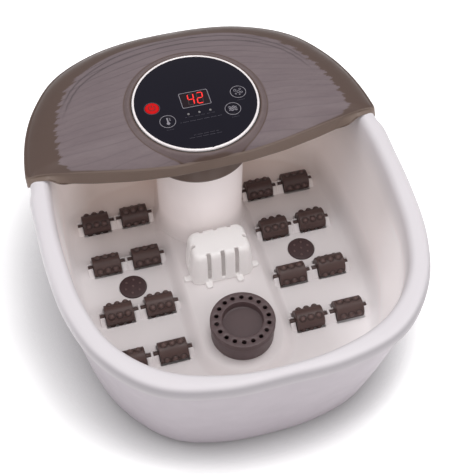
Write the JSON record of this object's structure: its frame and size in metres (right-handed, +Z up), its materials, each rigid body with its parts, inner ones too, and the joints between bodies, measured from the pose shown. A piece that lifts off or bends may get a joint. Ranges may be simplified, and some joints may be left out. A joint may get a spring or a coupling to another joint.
{
  "type": "foot spa basin",
  "caption": "Electric foot spa basin: white tub with spinning massage rollers, heater guard, herb box and bubble caps, under a taupe rear hood with a round control panel.",
  "frame": {"origin": "centre of the bounding box's bottom face, on the surface the basin stands on", "axes": "+Z up, +Y from the user towards the hood and panel, +X to the user's right"},
  "size_m": [0.3724, 0.4549, 0.2082],
  "materials": {
    "white_plastic": "smooth moulded, soft gloss",
    "lilac_plastic": "smooth moulded, soft gloss",
    "taupe_plastic": "soft gloss with a wavy grain field",
    "bright_ring": "bright satin",
    "panel_gloss": "high gloss",
    "display_glass": "high gloss",
    "red_lamp": "backlit gloss",
    "lamp_lens": "clear lens",
    "roller_brown": "fine satin",
    "cap_brown": "fine satin",
    "herb_brown": "fine matte",
    "foot_rubber": "matte",
    "steel": "plain",
    "circuit_board": "solder mask",
    "hose_rubber": "silicone",
    "black_plastic": "moulded"
  },
  "bodies": {
    "root": {"air_hose_left": "hose_rubber", "air_hose_right": "hose_rubber", "air_pump": "black_plastic", "base_plate": "lilac_plastic", "base_screw_1": "steel", "base_screw_2": "steel", "base_screw_3": "steel", "base_screw_4": "steel", "bubble_cap_left": "cap_brown", "bubble_cap_right": "cap_brown", "control_pcb": "circuit_board", "cord_gland": "black_plastic", "display_module": "black_plastic", "display_window": "display_glass", "foot_back_left": "foot_rubber", "foot_back_right": "foot_rubber", "foot_front_left": "foot_rubber", "foot_front_right": "foot_rubber", "heater_element": "steel", "heater_guard": "white_plastic", "heater_plate": "black_plastic", "hood_cover": "taupe_plastic", "inner_tub": "white_plastic", "lamp_1": "lamp_lens", "lamp_2": "lamp_lens", "lamp_3": "lamp_lens", "outer_shell": "lilac_plastic", "panel_bezel": "bright_ring", "panel_collar": "taupe_plastic", "panel_disc": "panel_gloss", "panel_tray": "black_plastic", "power_board": "circuit_board", "temp_sensor": "steel", "vibration_motor": "steel"},
    "roller_left_1_inner": {"roller_left_1_inner": "roller_brown"},
    "roller_left_1_outer": {"roller_left_1_outer": "roller_brown"},
    "roller_left_2_inner": {"roller_left_2_inner": "roller_brown"},
    "roller_left_2_outer": {"roller_left_2_outer": "roller_brown"},
    "roller_left_3_inner": {"roller_left_3_inner": "roller_brown"},
    "roller_left_3_outer": {"roller_left_3_outer": "roller_brown"},
    "roller_left_4_inner": {"roller_left_4_inner": "roller_brown"},
    "roller_left_4_outer": {"roller_left_4_outer": "roller_brown"},
    "roller_right_1_inner": {"roller_right_1_inner": "roller_brown"},
    "roller_right_1_outer": {"roller_right_1_outer": "roller_brown"},
    "roller_right_2_inner": {"roller_right_2_inner": "roller_brown"},
    "roller_right_2_outer": {"roller_right_2_outer": "roller_brown"},
    "roller_right_3_inner": {"roller_right_3_inner": "roller_brown"},
    "roller_right_3_outer": {"roller_right_3_outer": "roller_brown"},
    "roller_right_4_inner": {"roller_right_4_inner": "roller_brown"},
    "roller_right_4_outer": {"roller_right_4_outer": "roller_brown"},
    "power_button": {"power_button": "red_lamp"},
    "bubble_button": {"bubble_button": "panel_gloss"},
    "temp_button": {"temp_button": "panel_gloss"},
    "massage_button": {"massage_button": "panel_gloss"},
    "herb_box": {"herb_box": "herb_brown"},
    "herb_lid": {"herb_lid": "herb_brown"},
    "eccentric_weight": {"eccentric_weight": "steel"}
  },
  "joints": [
    {"name": "roller_left_1_inner_spin", "type": "hinge", "parent": "root", "child": "roller_left_1_inner", "pos_m": [-0.0752, -0.0829, 0.028], "axis": [1, 0, 0], "continuous": true},
    {"name": "roller_left_1_outer_spin", "type": "hinge", "parent": "root", "child": "roller_left_1_outer", "pos_m": [-0.12, -0.0829, 0.028], "axis": [1, 0, 0], "continuous": true},
    {"name": "roller_left_2_inner_spin", "type": "hinge", "parent": "root", "child": "roller_left_2_inner", "pos_m": [-0.0752, -0.0224, 0.028], "axis": [1, 0, 0], "continuous": true},
    {"name": "roller_left_2_outer_spin", "type": "hinge", "parent": "root", "child": "roller_left_2_outer", "pos_m": [-0.12, -0.0224, 0.028], "axis": [1, 0, 0], "continuous": true},
    {"name": "roller_left_3_inner_spin", "type": "hinge", "parent": "root", "child": "roller_left_3_inner", "pos_m": [-0.0752, 0.0446, 0.028], "axis": [1, 0, 0], "continuous": true},
    {"name": "roller_left_3_outer_spin", "type": "hinge", "parent": "root", "child": "roller_left_3_outer", "pos_m": [-0.12, 0.0446, 0.028], "axis": [1, 0, 0], "continuous": true},
    {"name": "roller_left_4_inner_spin", "type": "hinge", "parent": "root", "child": "roller_left_4_inner", "pos_m": [-0.0752, 0.1051, 0.028], "axis": [1, 0, 0], "continuous": true},
    {"name": "roller_left_4_outer_spin", "type": "hinge", "parent": "root", "child": "roller_left_4_outer", "pos_m": [-0.12, 0.1051, 0.028], "axis": [1, 0, 0], "continuous": true},
    {"name": "roller_right_1_inner_spin", "type": "hinge", "parent": "root", "child": "roller_right_1_inner", "pos_m": [0.0752, -0.0829, 0.028], "axis": [1, 0, 0], "continuous": true},
    {"name": "roller_right_1_outer_spin", "type": "hinge", "parent": "root", "child": "roller_right_1_outer", "pos_m": [0.12, -0.0829, 0.028], "axis": [1, 0, 0], "continuous": true},
    {"name": "roller_right_2_inner_spin", "type": "hinge", "parent": "root", "child": "roller_right_2_inner", "pos_m": [0.0752, -0.0224, 0.028], "axis": [1, 0, 0], "continuous": true},
    {"name": "roller_right_2_outer_spin", "type": "hinge", "parent": "root", "child": "roller_right_2_outer", "pos_m": [0.12, -0.0224, 0.028], "axis": [1, 0, 0], "continuous": true},
    {"name": "roller_right_3_inner_spin", "type": "hinge", "parent": "root", "child": "roller_right_3_inner", "pos_m": [0.0752, 0.0446, 0.028], "axis": [1, 0, 0], "continuous": true},
    {"name": "roller_right_3_outer_spin", "type": "hinge", "parent": "root", "child": "roller_right_3_outer", "pos_m": [0.12, 0.0446, 0.028], "axis": [1, 0, 0], "continuous": true},
    {"name": "roller_right_4_inner_spin", "type": "hinge", "parent": "root", "child": "roller_right_4_inner", "pos_m": [0.0752, 0.1051, 0.028], "axis": [1, 0, 0], "continuous": true},
    {"name": "roller_right_4_outer_spin", "type": "hinge", "parent": "root", "child": "roller_right_4_outer", "pos_m": [0.12, 0.1051, 0.028], "axis": [1, 0, 0], "continuous": true},
    {"name": "power_button_press", "type": "slide", "parent": "root", "child": "power_button", "axis": [0, 0.0436, -0.999], "range_m": [0, 0.0008], "stiffness_N_per_m": 600},
    {"name": "bubble_button_press", "type": "slide", "parent": "root", "child": "bubble_button", "axis": [0, 0.0436, -0.999], "range_m": [0, 0.0008], "stiffness_N_per_m": 600},
    {"name": "temp_button_press", "type": "slide", "parent": "root", "child": "temp_button", "axis": [0, 0.0436, -0.999], "range_m": [0, 0.0008], "stiffness_N_per_m": 600},
    {"name": "massage_button_press", "type": "slide", "parent": "root", "child": "massage_button", "axis": [0, 0.0436, -0.999], "range_m": [0, 0.0008], "stiffness_N_per_m": 600},
    {"name": "herb_box_lift", "type": "slide", "parent": "root", "child": "herb_box", "axis": [0, 0, 1], "range_m": [0, 0.06]},
    {"name": "herb_lid_lift", "type": "slide", "parent": "herb_box", "child": "herb_lid", "axis": [0, 0, 1], "range_m": [0, 0.04]},
    {"name": "motor_shaft_spin", "type": "hinge", "parent": "root", "child": "eccentric_weight", "pos_m": [0.015, -0.086, 0.0196], "axis": [1, 0, 0], "continuous": true}
  ]
}
